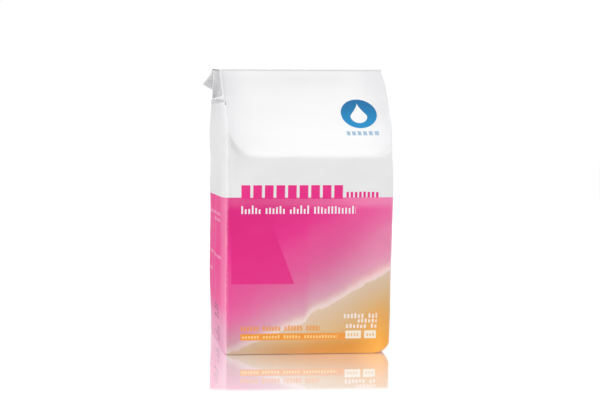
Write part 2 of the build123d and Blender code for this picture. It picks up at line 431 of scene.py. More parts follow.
def cut(grid, rows, columns):
    """A block of a grid: rows from first to last, and columns that may run past the seam."""
    first, last = rows
    start, end = columns
    chosen = np.arange(start, end + 1) % grid[0].shape[1]
    return [layer[first:last + 1][:, chosen] for layer in grid]


HALF_ARC = ARC_COLUMNS // 2
EDGE_LEFT_FRONT = LEFT_START + SIDE_COLUMNS - HALF_ARC - COLUMNS
EDGE_RIGHT_FRONT = RIGHT_START + HALF_ARC
EDGE_RIGHT_BACK = BACK_START - HALF_ARC
EDGE_LEFT_BACK = LEFT_START + HALF_ARC
BACK_MIDDLE = BACK_START + SHEET_COLUMNS // 2
PLY_END = ARC_COLUMNS + PLY_COLUMNS
RIGHT_WEB = (RIGHT_START + PLY_END, BACK_START - PLY_END)
LEFT_WEB = (LEFT_START + PLY_END, COLUMNS - PLY_END)
RIGHT_MIDDLE = (RIGHT_WEB[0] + RIGHT_WEB[1]) // 2
LEFT_MIDDLE = (LEFT_WEB[0] + LEFT_WEB[1]) // 2


def crease_scuff_and_highlight(points):
    """1 along the creases and edges, where the laminate is stressed, falling to 0 beside them. Its
    band along the pleat is also a painted highlight on the lip.
    """
    steps = np.arange(COLUMNS)
    scuff_and_highlight = np.zeros(points.shape[:2])
    for centre in (COLUMNS - HALF_ARC, EDGE_RIGHT_FRONT, EDGE_RIGHT_BACK, EDGE_LEFT_BACK):
        away = np.abs((steps - centre + COLUMNS / 2) % COLUMNS - COLUMNS / 2)
        scuff_and_highlight = np.maximum(scuff_and_highlight, bell(away, 0, 2.2))
    for middle in (RIGHT_MIDDLE, LEFT_MIDDLE):
        scuff_and_highlight = np.maximum(scuff_and_highlight, 0.5 * bell(steps, middle, 1.0))
    z = points[..., 2]
    scuff_and_highlight = np.maximum(scuff_and_highlight, 0.35 * bell(z, crease_height(points[..., 0]), 1.0))
    # painted highlight: the strong band along the pleat lightens the lip's roll, as well as marking
    # wear there
    return np.maximum(scuff_and_highlight, 0.8 * bell(z, PLEAT, 1.0))


def make_pouch():
    """Every panel of the pouch, cut from one web. Returns the web, for what lies against it."""
    points, normals = pouch_web()
    grid = (points, normals, crease_scuff_and_highlight(points))
    wall, shoulder = (0, CREASE_ROW), (CREASE_ROW, TOP_ROW)
    gusset, tuck = (0, PLEAT_ROW), (PLEAT_ROW, TOP_ROW)
    front = (EDGE_LEFT_FRONT, EDGE_RIGHT_FRONT)
    back_right, back_left = (EDGE_RIGHT_BACK, BACK_MIDDLE), (BACK_MIDDLE, EDGE_LEFT_BACK)
    panels = [
        ("front_panel", wall, front),
        ("front_shoulder", shoulder, front),
        ("back_panel_right", wall, back_right),
        ("back_panel_left", wall, back_left),
        ("back_shoulder_right", shoulder, back_right),
        ("back_shoulder_left", shoulder, back_left),
        ("right_gusset_front", gusset, (EDGE_RIGHT_FRONT, RIGHT_MIDDLE)),
        ("right_gusset_rear", gusset, (RIGHT_MIDDLE, EDGE_RIGHT_BACK)),
        ("left_gusset_rear", gusset, (EDGE_LEFT_BACK, LEFT_MIDDLE)),
        ("left_gusset_front", gusset, (LEFT_MIDDLE, COLUMNS + EDGE_LEFT_FRONT)),
        ("right_tuck_front", tuck, (EDGE_RIGHT_FRONT, RIGHT_WEB[0])),
        ("right_tuck_web", tuck, RIGHT_WEB),
        ("right_tuck_rear", tuck, (RIGHT_WEB[1], EDGE_RIGHT_BACK)),
        ("left_tuck_rear", tuck, (EDGE_LEFT_BACK, LEFT_WEB[0])),
        ("left_tuck_web", tuck, LEFT_WEB),
        ("left_tuck_front", tuck, (LEFT_WEB[1], COLUMNS + EDGE_LEFT_FRONT)),
    ]
    for name, rows, columns in panels:
        piece = film_piece(name + "_film", *cut(grid, rows, columns))
        dress(piece, name)
    return grid


# --- the ridge fold and the flap ---
FLAP_ROWS = 22
FOLD_STEPS = 8
FOLD_REACH = 0.9          # the plies start this far along, clear of the pouch when they stand up
FLAP_PLY_GAP = 0.3        # from the middle of the plies to the outer surface of each main ply
SEAL_START = FLAP_LENGTH - SEAL_WIDTH


def flap_half_width(along):
    """Half the flap's width, this far from the fold."""
    end_half = FLAP_SEAL_HIGH[0]
    return RIDGE_HALF + (end_half - RIDGE_HALF) * along / FLAP_LENGTH


def flap_place(x, along, out):
    """A point of the flap in space: along runs away from the fold, and out is above its plies.
    The corners flare out and lift, the left one more."""
    corner = np.abs(x) / FLAP_SEAL_HIGH[0]
    lift = FLAP_CORNER_LIFT * np.where(x < 0, 1.0, 0.55) * corner**9
    sway = FLAP_SWAY * np.sin(x / 19.0 + 0.7) * (1 - corner**6)
    droop = FLAP_DROOP + math.radians(2) + (sway - lift) * smoothstep(along, -1, 2)
    share = along / FLAP_LENGTH
    widening = np.where(x < 0, 0.7 + 1.9 * share, -1.0 + 2.0 * share)
    flare = np.sign(x) * widening * corner**9
    y = along * np.cos(droop) + out * np.sin(droop)
    z = AXIS_HEIGHT - along * np.sin(droop) + out * np.cos(droop)
    return np.stack(np.broadcast_arrays(x + flare, y, z), axis=-1)


def flap_loop(along):
    """One row of the flap's plies, round the flattened tube: x and height above their middle."""
    puff = bell(along, 0.45 * SEAL_START, 0.3 * SEAL_START)
    rolled = 0.75 * bell(along, 0, 5.0)   # all plies ride over the ridge
    outer = FLAP_PLY_GAP + 0.75 * puff + rolled
    inner = -FLAP_PLY_GAP - 0.5 * puff + rolled
    radius = (outer - inner) / 4
    start = flap_half_width(along) - radius
    sheet_x = start * (2 * SHEET_SHARES - 1)
    turn = math.pi * np.arange(ARC_COLUMNS) / ARC_COLUMNS
    arc_x, arc_h = start + radius * np.sin(turn), radius * np.cos(turn)
    ply_x = start - GUSSET_FOLD * np.arange(PLY_COLUMNS + 1) / PLY_COLUMNS
    web = np.arange(1, WEB_COLUMNS) / WEB_COLUMNS
    fold_x = np.full(len(web), start - GUSSET_FOLD)
    side_x = np.concatenate([arc_x, ply_x, fold_x, ply_x[::-1], arc_x[:0:-1]])
    top, bottom = outer - 1.9 * radius, inner + 1.9 * radius
    side_h = np.concatenate([
        outer - radius + arc_h, np.full(len(ply_x), top), top + (bottom - top) * web,
        np.full(len(ply_x), bottom), (inner + radius - arc_h)[:0:-1],
    ])
    flat = np.ones(SHEET_COLUMNS)
    x = np.concatenate([sheet_x, side_x, -sheet_x, -side_x])
    return x, np.concatenate([flat * outer, side_h, flat * inner, side_h[::-1]])


def make_flap(pouch):
    """The flap's plies, the film round the fold and the crimped seal."""
    rows = []
    for along in np.linspace(FOLD_REACH, SEAL_START, FLAP_ROWS + 1):
        x, out = flap_loop(along)
        rows.append(flap_place(x, along, out))
    points = np.array(rows)
    grid = (points, grid_normals(points, closed=True))
    plies = [
        ("flap_ply_outer", (EDGE_LEFT_FRONT, EDGE_RIGHT_FRONT)),
        ("flap_ply_inner", (EDGE_RIGHT_BACK, EDGE_LEFT_BACK)),
        ("flap_gusset_right", (EDGE_RIGHT_FRONT, EDGE_RIGHT_BACK)),
        ("flap_gusset_left", (EDGE_LEFT_BACK, COLUMNS + EDGE_LEFT_FRONT)),
    ]
    for name, columns in plies:
        ply = cut(grid, (0, FLAP_ROWS), columns)
        dress(film_piece(name + "_film", *ply, body="top_flap"), name)
    make_fold_film(pouch, grid)
    make_top_seal()


def round_axis(points):
    """The angle and the distance of points from the flap's hinge axis."""
    y, up = points[:, 1], points[:, 2] - AXIS_HEIGHT
    return np.arctan2(up, y), np.hypot(y, up)


def make_fold_film(pouch, flap):
    """The film that turns over the ridge, in rows that run round the hinge axis from the pouch's top
    row to the flap's first row.
    """
    front = (EDGE_LEFT_FRONT, EDGE_RIGHT_FRONT)
    below = cut(pouch, (TOP_ROW, TOP_ROW), front)[0][0]
    beyond = cut(flap, (0, 0), front)[0][0]
    start, start_radius = round_axis(below)
    end, end_radius = round_axis(beyond)
    rows = []
    for share in np.linspace(0, 1, FOLD_STEPS + 1):
        angle = start + (end - start) * share
        radius = start_radius + (end_radius - start_radius) * share
        x = below[:, 0] + (beyond[:, 0] - below[:, 0]) * smoothstep(share, 0, 0.35)
        rows.append(np.stack([x, radius * np.cos(angle), AXIS_HEIGHT + radius * np.sin(angle)], 1))
    points = np.array(rows)
    scuff_and_highlight = np.full(points.shape[:2], 0.7)
    normals = grid_normals(points, closed=False)
    piece = film_piece("ridge_fold_film", points, normals, scuff_and_highlight, body=None)
    piece.data.materials.append(material("ridge_fold"))
    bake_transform(piece)


def make_top_seal():
    """The heat seal: all plies fused in one band, with fine crimp ridges along it."""
    across, down, half_thickness = 120, 40, 0.32
    crimp_pitch, crimp_height = 1.15, 0.13
    x_share = np.linspace(-1, 1, across + 1)
    alongs = np.linspace(SEAL_START, FLAP_LENGTH, down + 1)
    into_seal = smoothstep(alongs, SEAL_START, SEAL_START + 0.6)
    before_end = 1 - smoothstep(alongs, FLAP_LENGTH - 1.0, FLAP_LENGTH - 0.6)
    crimp = crimp_height * np.sin(alongs * 2 * math.pi / crimp_pitch) * into_seal * before_end
    outer, inner = [
        np.array([
            flap_place(x_share * flap_half_width(along), along, out + wave)
            for along, wave in zip(alongs, crimp)
        ])
        for out in (half_thickness, -half_thickness)
    ]
    thickness = np.linalg.norm(outer - inner, axis=2).mean()
    grid_piece("top_seal_band", outer, "top_seal", thickness, "top_flap")


def tube_faces(rings, around):
    """Faces that join rings of points one to the next, with a lid at each end."""
    faces = []
    for start in range(0, (rings - 1) * around, around):
        for j in range(around):
            k = (j + 1) % around
            faces.append((start + j, start + k, start + around + k, start + around + j))
    faces.append(tuple(range(around))[::-1])
    faces.append(tuple((rings - 1) * around + j for j in range(around)))
    return faces


def make_ridge_bead():
    """The rolled plies inside the fold. They close the gap behind the flap at every pose."""
    sides, rings, radius = 20, 61, 0.5
    angles = np.linspace(0, 2 * math.pi, sides, endpoint=False)
    vertices = []
    for x in np.linspace(-RIDGE_HALF + 0.4, RIDGE_HALF - 1.5, rings):
        taper = radius * (1 - 0.5 * smoothstep(abs(x), RIDGE_HALF - 1.2, RIDGE_HALF - 0.4))
        for angle in angles:
            vertices.append((x, taper * math.cos(angle), AXIS_HEIGHT + taper * math.sin(angle)))
    piece = add_mesh("ridge_bead", vertices, tube_faces(rings, sides))
    piece.data.shade_smooth()
    dress(piece, "ridge_fold")


# --- seals on the back ---
def make_back_fin(pouch):
    """The fin seal up the back: two plies folded flat to the right, with a lightly lifted edge."""
    points, normals, _ = pouch
    columns = np.arange(BACK_START, BACK_MIDDLE + 1)[::-1]
    share = np.linspace(0, 1, 15)
    rows, ups = [], []
    for r in range(BASE_ROWS, TOP_ROW + 1):
        if points[r, BACK_MIDDLE, 2] > FIN_HIGH[2]:
            break
        xs = points[r, columns, 0]
        for layer, found in ((points, rows), (normals, ups)):
            axes = [np.interp(share * FIN_WIDTH, xs, layer[r, columns, k]) for k in range(3)]
            found.append(np.stack(axes, axis=1))
    rows = np.array(rows)
    lifted = 0.45 + 0.5 * share**3 * (1 + 0.6 * waves(rows, 45, seed=21))
    across = (rows + np.array(ups) * lifted[..., None])[:, ::-1]
    grid_piece("back_fin_seal_film", across, "back_fin_seal", 2 * FILM)


def make_flap_fin():
    """The fin seal where it goes on over the flap's underside."""
    xs = np.linspace(FIN_WIDTH, 0, 13)
    rows = []
    for along in np.linspace(4.5, SEAL_START, 12):
        under = flap_loop(along)[1].min()
        rows.append(flap_place(xs, along, under - 0.12))
    grid_piece(
        "flap_fin_seal_film", rows, "flap_fin_seal", 2 * FILM, "top_flap")


# --- base ---
def make_base(pouch):
    """The folded block bottom: two flaps that meet under a crimped seal, over the folded-in sides."""
    foot = pouch[0][0]
    for face, start, end, name in (
        (FRONT, EDGE_LEFT_FRONT, EDGE_RIGHT_FRONT, "base_flap_front"),
        (BACK, EDGE_RIGHT_BACK, EDGE_LEFT_BACK, "base_flap_rear"),
    ):
        edge = foot[np.arange(start, end + 1) % COLUMNS][::-1]
        inner = edge.copy()
        inner[:, 1] = face * BASE_SEAL_HALF
        rows = [edge + (inner - edge) * share for share in np.linspace(0, 1, 6)]
        grid_piece(name + "_film", rows, name, facing=-1)
    make_base_seal(foot)
    make_base_tucks()


def make_base_seal(foot):
    """The crimped band where the base flaps are welded together."""
    xs = np.linspace(foot[:, 0].min(), foot[:, 0].max(), 121)
    ys = np.linspace(BASE_SEAL_HALF, -BASE_SEAL_HALF, 41)
    crimp_pitch, crimp_height = 1.2, 0.05
    crimp = crimp_height * (1 + np.cos(ys * 2 * math.pi / crimp_pitch))
    rows = [
        np.stack(np.broadcast_arrays(xs, y, height), axis=1) for y, height in zip(ys, crimp)
    ]
    grid_piece("base_seal_band", rows, "base_seal", 2 * FILM)


def make_base_tucks():
    """The gusset film folded in over the base flaps."""
    steps, margin = 14, 3
    for side in (LEFT, RIGHT):
        name = f"base_tuck_{SIDE_NAMES[side]}"
        low, high = node_box(name)
        reach = high[0] - low[0] - margin
        rows = []
        for share in np.linspace(0, 0.96, steps + 1):
            half = (HALF_DEPTH - 4) * (1 - share)
            y = np.linspace(-half, half, steps + 1)[::side]
            x = side * (HALF_WIDTH - margin - reach * share)
            rows.append(np.stack(np.broadcast_arrays(x, y, high[2] + 0.05), axis=1))
        grid_piece(name + "_film", rows, name, 1.2 * FILM, facing=1)


# --- powder ---
def make_powder():
    """The settled powder, a rounded block with an uneven, crowned top."""
    around, margin = 120, 1
    half_x, half_y = POWDER_HIGH[0] - 0.8, POWDER_HIGH[1] - 0.8
    corner, foot, crown = 9.0, 6.0, 9.0
    low, high = POWDER_LOW[2] + 0.15, POWDER_HIGH[2]
    angles = np.linspace(0, 2 * math.pi, around, endpoint=False)
    c, s = np.cos(angles), np.sin(angles)

    def ring(inset, z):
        """A rounded rectangle, this far inside the powder's sides."""
        reach_x, reach_y = half_x - inset, half_y - inset
        power = 2 + 2 * min(reach_x, reach_y) / corner
        scale = (np.abs(c) ** power + np.abs(s) ** power) ** (-1 / power)
        return np.stack([reach_x * c * scale, reach_y * s * scale, np.full(around, z)], axis=1)

    profile = []
    for turn in np.linspace(0, math.pi / 2, 8):
        inset = foot * (1 - math.sin(turn)) + margin
        profile.append((inset, low + foot * (1 - math.cos(turn))))
    for z in np.linspace(low + foot, high - crown, 40)[1:]:
        profile.append((margin, z))
    for turn in np.linspace(0, math.pi / 2, 10)[1:]:
        inset = margin + crown * (1 - math.cos(turn))
        profile.append((inset, high - crown + crown * math.sin(turn)))
    for inset in np.linspace(margin + crown, half_y - 0.5, 24)[1:]:
        profile.append((inset, high))
    points = np.array([ring(inset, z) for inset, z in profile])
    top = smoothstep(points[..., 2], high - 2 * crown, high)
    heaps = 0.9 * waves(points, 26, seed=31) + 0.25 * waves(points, 6, seed=32)
    points[..., 2] += top * (heaps - 1.2)
    faces = tube_faces(len(profile), around)
    piece = add_mesh("powder_fill_mass", points.reshape(-1, 3), faces)
    piece.data.shade_smooth()
    dress(piece, "powder_fill")


# --- materials ---
def srgb(red, green, blue):
    """A colour from 0 to 255 per channel, as linear values for a shader."""
    channels = []
    for value in (red, green, blue):
        c = value / 255
        channels.append(c / 12.92 if c <= 0.04045 else ((c + 0.055) / 1.055) ** 2.4)
    return (*channels, 1.0)


class Nodes:
    """A few short calls for building a material's nodes."""

    def __init__(self, name):
        self.material = bpy.data.materials.new(name)
        self.material.use_nodes = True
        self.tree = self.material.node_tree
        self.shader = self.tree.nodes["Principled BSDF"]
        self.colour = None   # what paint() has laid down so far

    def add(self, kind, **settings):
        node = self.tree.nodes.new(kind)
        for key, value in settings.items():
            setattr(node, key, value)
        return node

    def put(self, socket, value):
        """Links a socket to another, or sets its value."""
        if isinstance(value, bpy.types.NodeSocket):
            self.tree.links.new(value, socket)
        else:
            socket.default_value = value

    def math(self, operation, a, b=0.0, c=0.0):
        node = self.add("ShaderNodeMath", operation=operation)
        for socket, value in zip(node.inputs, (a, b, c)):
            self.put(socket, value)
        return node.outputs[0]

    def times(self, first, *others):
        for other in others:
            first = self.math("MULTIPLY", first, other)
        return first

    def plus(self, a, b):
        return self.math("ADD", a, b)

    def minus(self, a, b):
        return self.math("SUBTRACT", a, b)

    def scaled(self, a, factor, offset):
        return self.math("MULTIPLY_ADD", a, factor, offset)

    def size(self, value):
        return self.math("ABSOLUTE", value)

    def distance(self, a, b):
        """How far a point is from the middle, from its distances along two axes."""
        squares = self.plus(self.math("POWER", a, 2.0), self.math("POWER", b, 2.0))
        return self.math("SQRT", squares)

    def coordinates(self):
        return self.add("ShaderNodeTexCoord").outputs["Object"]

    def position(self):
        """x, y and z on the object at rest, in millimetres."""
        axes = self.add("ShaderNodeSeparateXYZ")
        self.put(axes.inputs[0], self.coordinates())
        return [self.times(axes.outputs[k], 1 / MM) for k in range(3)]

    def noise(self, scale, detail=2.0, roughness=0.5):
        """Noise from 0 to 1. scale is in waves per metre."""
        node = self.add("ShaderNodeTexNoise")
        self.put(node.inputs["Vector"], self.coordinates())
        self.put(node.inputs["Scale"], scale)
        self.put(node.inputs["Detail"], detail)
        self.put(node.inputs["Roughness"], roughness)
        return node.outputs["Fac"]

    def step(self, value, start, end, low=0.0, high=1.0):
        """low before start and high after end, smooth between them."""
        node = self.add("ShaderNodeMapRange", interpolation_type="SMOOTHSTEP")
        for socket, item in zip(node.inputs, (value, start, end, low, high)):
            self.put(socket, item)
        return node.outputs[0]

    def fall(self, value, start, end, high=1.0, low=0.0):
        """high before start and low after end."""
        return self.step(value, start, end, high, low)

    def mix(self, share, a, b, blend="MIX"):
        """One colour laid over another."""
        node = self.add("ShaderNodeMix", data_type="RGBA", blend_type=blend)
        self.put(node.inputs[0], share)
        self.put(node.inputs[6], a)
        self.put(node.inputs[7], b)
        return node.outputs[2]

    def paint(self, colour, share, blend="MIX"):
        """Lays a colour over what is painted so far."""
        self.colour = self.mix(share, self.colour, colour, blend)

    def ramp(self, share, *stops):
        """A colour that runs through these stops, given as (place, red, green, blue)."""
        node = self.add("ShaderNodeValToRGB")
        ramp = node.color_ramp
        ramp.interpolation = "LINEAR"
        while len(ramp.elements) < len(stops):
            ramp.elements.new(0.5)
        for element, (place, *colour) in zip(ramp.elements, stops):
            element.position = place
            element.color = srgb(*colour)
        self.put(node.inputs[0], share)
        return node.outputs[0]

    def bump(self, height, strength, distance):
        """Bends the shader's normals as if the surface had this height."""
        node = self.add("ShaderNodeBump")
        self.put(node.inputs["Strength"], strength)
        self.put(node.inputs["Distance"], distance)
        self.put(node.inputs["Height"], height)
        self.put(self.shader.inputs["Normal"], node.outputs[0])

    def box(self, x, z, left, right, low, high, soft=0.12):
        """1 inside a rectangle of the print."""
        return self.times(
            self.step(x, left - soft, left + soft), self.fall(x, right - soft, right + soft),
            self.step(z, low - soft, low + soft), self.fall(z, high - soft, high + soft),
        )

    def blocks(self, x, z, left, right, low, high, pitch, seed, fill=0.6, uneven=0.3, spaces=0.13):
        """A row of plain upright blocks of uneven height, where a line of print would be. Wider
        gaps come here and there, as between words."""
        place = self.math("DIVIDE", self.minus(x, left), pitch)
        number = self.math("FLOOR", place)
        draw = self.add("ShaderNodeTexWhiteNoise", noise_dimensions="1D")
        self.put(draw.inputs["W"], self.plus(number, seed))
        top = self.minus(high, self.times(draw.outputs["Value"], uneven * (high - low)))
        space = self.math("FRACT", self.scaled(number, 0.137, 0.3))
        return self.times(
            self.box(x, z, left, right, low, high),
            self.fall(self.math("FRACT", place), fill - 0.04, fill + 0.04),
            self.math("LESS_THAN", z, top), self.math("GREATER_THAN", space, spaces),
        )


WHITE = srgb(241, 241, 242)       # unprinted film round the print
BARE_FILM = srgb(252, 252, 252)
# painted shade: the grey below is laid where the film is folded tight or lies in a pocket, in place of
# its shading
SHADE_GREY = srgb(206, 206, 209)   # where the film is folded tight or lies in a pocket
MAGENTA = srgb(240, 28, 137)
PALE_PINK = srgb(255, 214, 232)
BAND_TOP = 100.6                  # the printed band's top edge
PRINT_LEFT = -43.6                # where most rows of the front print start
MATERIALS = {}                    # those made so far, by the function that made them


def finish_film(nodes, gloss=0.3, coat=0.25, level=0.5):
    """The laminate over the print: glossy, with faint orange peel, scuffs and paler creases, and a
    painted highlight along the pleat's lip.
    """
    # the attribute read here holds real wear along creases and edges, and a painted highlight along
    # the pleat's lip
    scuff_and_highlight = nodes.add("ShaderNodeAttribute", attribute_name="scuff_and_highlight").outputs["Fac"]
    worn_and_lit = nodes.times(scuff_and_highlight, nodes.step(nodes.noise(420, 4.0, 0.6), 0.3, 0.75, 0.06, 0.2))
    nodes.paint(srgb(250, 240, 243), worn_and_lit)
    shader = nodes.shader
    nodes.put(shader.inputs["Base Color"], nodes.colour)
    rough = nodes.scaled(nodes.noise(38), 0.16, gloss - 0.07)
    nodes.put(shader.inputs["Roughness"], nodes.scaled(worn_and_lit, 0.5, rough))
    shader.inputs["IOR"].default_value = 1.5
    shader.inputs["Specular IOR Level"].default_value = level
    shader.inputs["Coat Weight"].default_value = coat
    shader.inputs["Coat Roughness"].default_value = 0.16
    ripple = nodes.plus(nodes.noise(120, 3.0, 0.55), nodes.times(nodes.noise(900), 0.25))
    nodes.bump(ripple, 0.12, 0.0006)


def band(nodes, z):
    """Leaves bare white film above the printed band's level top edge."""
    nodes.paint(WHITE, nodes.step(z, BAND_TOP - 0.2, BAND_TOP + 0.2))


def shore_height(nodes, x):
    """Height of the line where the pink meets the sand. It rises to the right, with one step."""
    shore = nodes.scaled(x, 0.41, 22.4)
    shore = nodes.plus(shore, nodes.step(x, -3.5, 2.5, 0.0, 4.5))
    past = nodes.math("MAXIMUM", nodes.minus(x, 12.0), 0.0)
    return nodes.scaled(past, 0.14, shore)


def front_pink(nodes, x, z, above):
    """The pink above the shoreline, deeper with height and a little paler towards the right."""
    drift = nodes.scaled(nodes.noise(30), 6.0, -3.0)
    strength = nodes.math("DIVIDE", nodes.plus(above, drift), 80.0)
    richer = nodes.times(nodes.fall(x, -54, -20, 0.09), nodes.fall(z, 30, 60))
    paler = nodes.times(nodes.step(x, 10, 52, 0.0, 0.13), nodes.step(above, 10, 32))
    return nodes.ramp(
        nodes.minus(nodes.plus(strength, richer), paler),
        (0.0, 222, 190, 178), (0.1, 218, 156, 178), (0.2, 220, 132, 168), (0.3, 225, 108, 160),
        (0.45, 231, 86, 154), (0.6, 236, 74, 150), (0.75, 239, 42, 144), (1.0, 230, 10, 130),
    )


def front_sand(nodes, x, z, above):
    """The sand below the shoreline, browner with depth and orange near the right edge."""
    low_down = nodes.times(nodes.fall(z, 0, 16, 0.55), nodes.step(x, -46, -8, 0.3, 1.0))
    sand = nodes.ramp(
        nodes.scaled(above, -0.017, low_down),
        (0.0, 222, 196, 172), (0.2, 216, 184, 142), (0.4, 214, 168, 108), (0.7, 208, 146, 62),
        (1.0, 210, 134, 28),
    )
    bright = nodes.times(
        nodes.step(x, 24, 50), nodes.fall(z, 4, 46, 0.85), nodes.fall(x, 46, 53, 1.0, 0.55)
    )
    return nodes.mix(bright, sand, srgb(248, 172, 58))


def front_print(nodes):
    """The front panel's print: a magenta band that pales towards a ragged, rising shoreline, with
    sand and orange below it. Blocks and bars stand where the words were."""
    x, _, z = nodes.position()
    above = nodes.minus(z, shore_height(nodes, x))
    edge = nodes.plus(above, nodes.scaled(nodes.noise(190, 5.0, 0.65), 5.0, -2.5))
    nodes.colour = front_sand(nodes, x, z, above)
    nodes.paint(front_pink(nodes, x, z, above), nodes.step(edge, -1.0, 0.6))
    foam = nodes.times(nodes.step(edge, -1.2, 0.2), nodes.fall(edge, 0.4, 6.0, 0.6))
    nodes.paint(srgb(244, 226, 222), foam)
    # painted shade: the bottom left of the front is laid darker
    left_foot_shade = nodes.times(nodes.fall(x, -56, 24), nodes.fall(z, 0, 28, 0.5))
    nodes.paint(srgb(150, 116, 112), left_foot_shade)
    lift = nodes.times(nodes.step(x, 12, 50), nodes.step(edge, -1.0, 2.0))
    nodes.paint((0.14, 0.01, 0.05, 1.0), lift, blend="ADD")
    faded = nodes.times(nodes.step(z, 92, 98), nodes.step(x, -50, 50, 0.09, 0.3))
    nodes.paint(srgb(255, 196, 222), faded)
    front_blocks(nodes, x, z)
    band(nodes, z)
    # two rows that stand in for large words, in the band's own colour on the white film
    nodes.paint(MAGENTA, nodes.blocks(
        x, z, PRINT_LEFT, 22.0, 99.7, 108.4, 7.35, 1.0, fill=0.76, uneven=0.0, spaces=-1.0))
    nodes.paint(MAGENTA, nodes.blocks(
        x, z, 23.0, 44.6, 100.5, 104.3, 2.7, 8.0, uneven=0.1, spaces=-1.0))
    finish_film(nodes)


def front_blocks(nodes, x, z):
    """The blocks and bars laid over the band's colours."""
    white, orange, pale = srgb(250, 244, 246), srgb(228, 142, 34), srgb(246, 196, 122)
    # a deeper patch with a slanted right edge
    slant = nodes.scaled(nodes.minus(z, 45.6), -0.385, -9.4)
    deep = nodes.times(
        nodes.fall(nodes.minus(x, slant), -0.3, 0.3), nodes.step(x, -49.9, -49.2),
        nodes.step(z, 45.4, 45.9), nodes.fall(z, 74, 96, 0.85),
    )
    nodes.paint(srgb(232, 18, 132), deep)
    subtitle = nodes.blocks(x, z, PRINT_LEFT, 29.2, 90.3, 95.6, 2.2, 1.0, fill=0.5, uneven=0.5)
    nodes.paint(white, subtitle)
    flavour = nodes.blocks(x, z, -43.2, 7.5, 15.4, 19.0, 2.0, 5.0, fill=0.72)
    nodes.paint(orange, nodes.times(flavour, 0.8))
    nodes.paint(orange, nodes.box(x, z, -43.4, 24.3, 9.4, 13.7))
    nodes.paint(pale, nodes.blocks(x, z, -42.2, 19, 10.5, 12.6, 1.9, 6.0))
    rows = ((22.9, 23.2, 26.6), (32.0, 20.3, 23.0), (24.6, 16.8, 19.6))
    for number, (left, low, high) in enumerate(rows):
        line = nodes.blocks(x, z, left, 44.5, low, high, 2.3, 9.0 + number, fill=0.55)
        nodes.paint(white, nodes.times(line, 0.7))
    for left, right in ((24.3, 34.4), (36.4, 44.1)):
        nodes.paint(srgb(236, 226, 208), nodes.box(x, z, left, right, 10.1, 15.2))
        mark = nodes.blocks(x, z, left + 1.5, right - 1.2, 11.4, 13.9, 1.9, left)
        nodes.paint(srgb(226, 182, 130), mark)


def side_pink(nodes, z):
    """A plain pink that pales towards the base, on the gussets and the back."""
    cloud = nodes.scaled(nodes.noise(22), 12.0, -6.0)
    nodes.colour = nodes.ramp(
        nodes.step(nodes.plus(z, cloud), 2, 100),
        (0.0, 222, 140, 176), (0.2, 246, 70, 154), (0.6, 246, 40, 146), (1.0, 247, 40, 146),
    )


def gusset_print(nodes):
    """The gussets: the same band, with fine print, a painted highlight that pales both edges, the
    front's sand and painted shade near the pleat.
    """
    x, y, z = nodes.position()
    side_pink(nodes, z)
    # painted highlight: pale pink laid along both vertical edges, where the rounded creases catch the
    # light
    nodes.paint(PALE_PINK, nodes.step(nodes.size(y), 17, HALF_DEPTH, 0.0, 0.28))
    rows = ((88, -22, 20), (84, -22, 2), (60, -24, 30), (48, 8, 30))
    for number, (low, start, end) in enumerate(rows, 1):
        line = nodes.blocks(y, z, start, end, low, low + 2.2, 2.1, number * 2.0)
        nodes.paint(PALE_PINK, nodes.times(line, 0.6))
    for low in (3.0, 18.0):
        line = nodes.blocks(z, y, low, low + 10.5, -11.0, 6.0, 2.6, low, fill=0.45, uneven=0.6)
        nodes.paint(srgb(140, 40, 106), nodes.times(line, 0.9))
    # the front's sand and orange run on a little way round the right-hand edge
    wrap = nodes.times(nodes.step(x, 0, 5), nodes.fall(y, -31, -27), nodes.fall(z, 43, 50))
    sand = nodes.mix(nodes.step(z, 0, 40), srgb(228, 150, 52), srgb(222, 190, 150))
    nodes.paint(sand, wrap)
    band(nodes, z)
    # painted shade: the white film is laid greyer near the pleat, on the rear of its lip and under it
    nodes.paint(SHADE_GREY, nodes.step(z, 122, PLEAT, 0.0, 0.42))
    lip_rear_shade = nodes.times(nodes.step(z, PLEAT - 1.6, PLEAT - 0.8), nodes.step(y, -9, -1))
    nodes.paint(SHADE_GREY, lip_rear_shade)
    nodes.paint(SHADE_GREY, nodes.fall(nodes.size(nodes.minus(z, PLEAT - 2.7)), 0, 0.9, 0.4))
    finish_film(nodes, gloss=0.36, coat=0.0, level=0.25)


def back_print(nodes):
    """The back and the base: the same band, with two columns of fine print as small blocks."""
    x, _, z = nodes.position()
    side_pink(nodes, z)
    for low in (78, 74, 70, 66, 58, 54, 50, 46, 42, 34, 30, 26):
        for start, end in ((-42, -6 - (low * 7) % 13), (14, 42 - (low * 5) % 11)):
            line = nodes.blocks(x, z, start, end, low, low + 1.7, 1.7, float(low), 0.55)
            nodes.paint(PALE_PINK, nodes.times(line, 0.8))
    band(nodes, z)
    finish_film(nodes, gloss=0.36, coat=0.0, level=0.25)


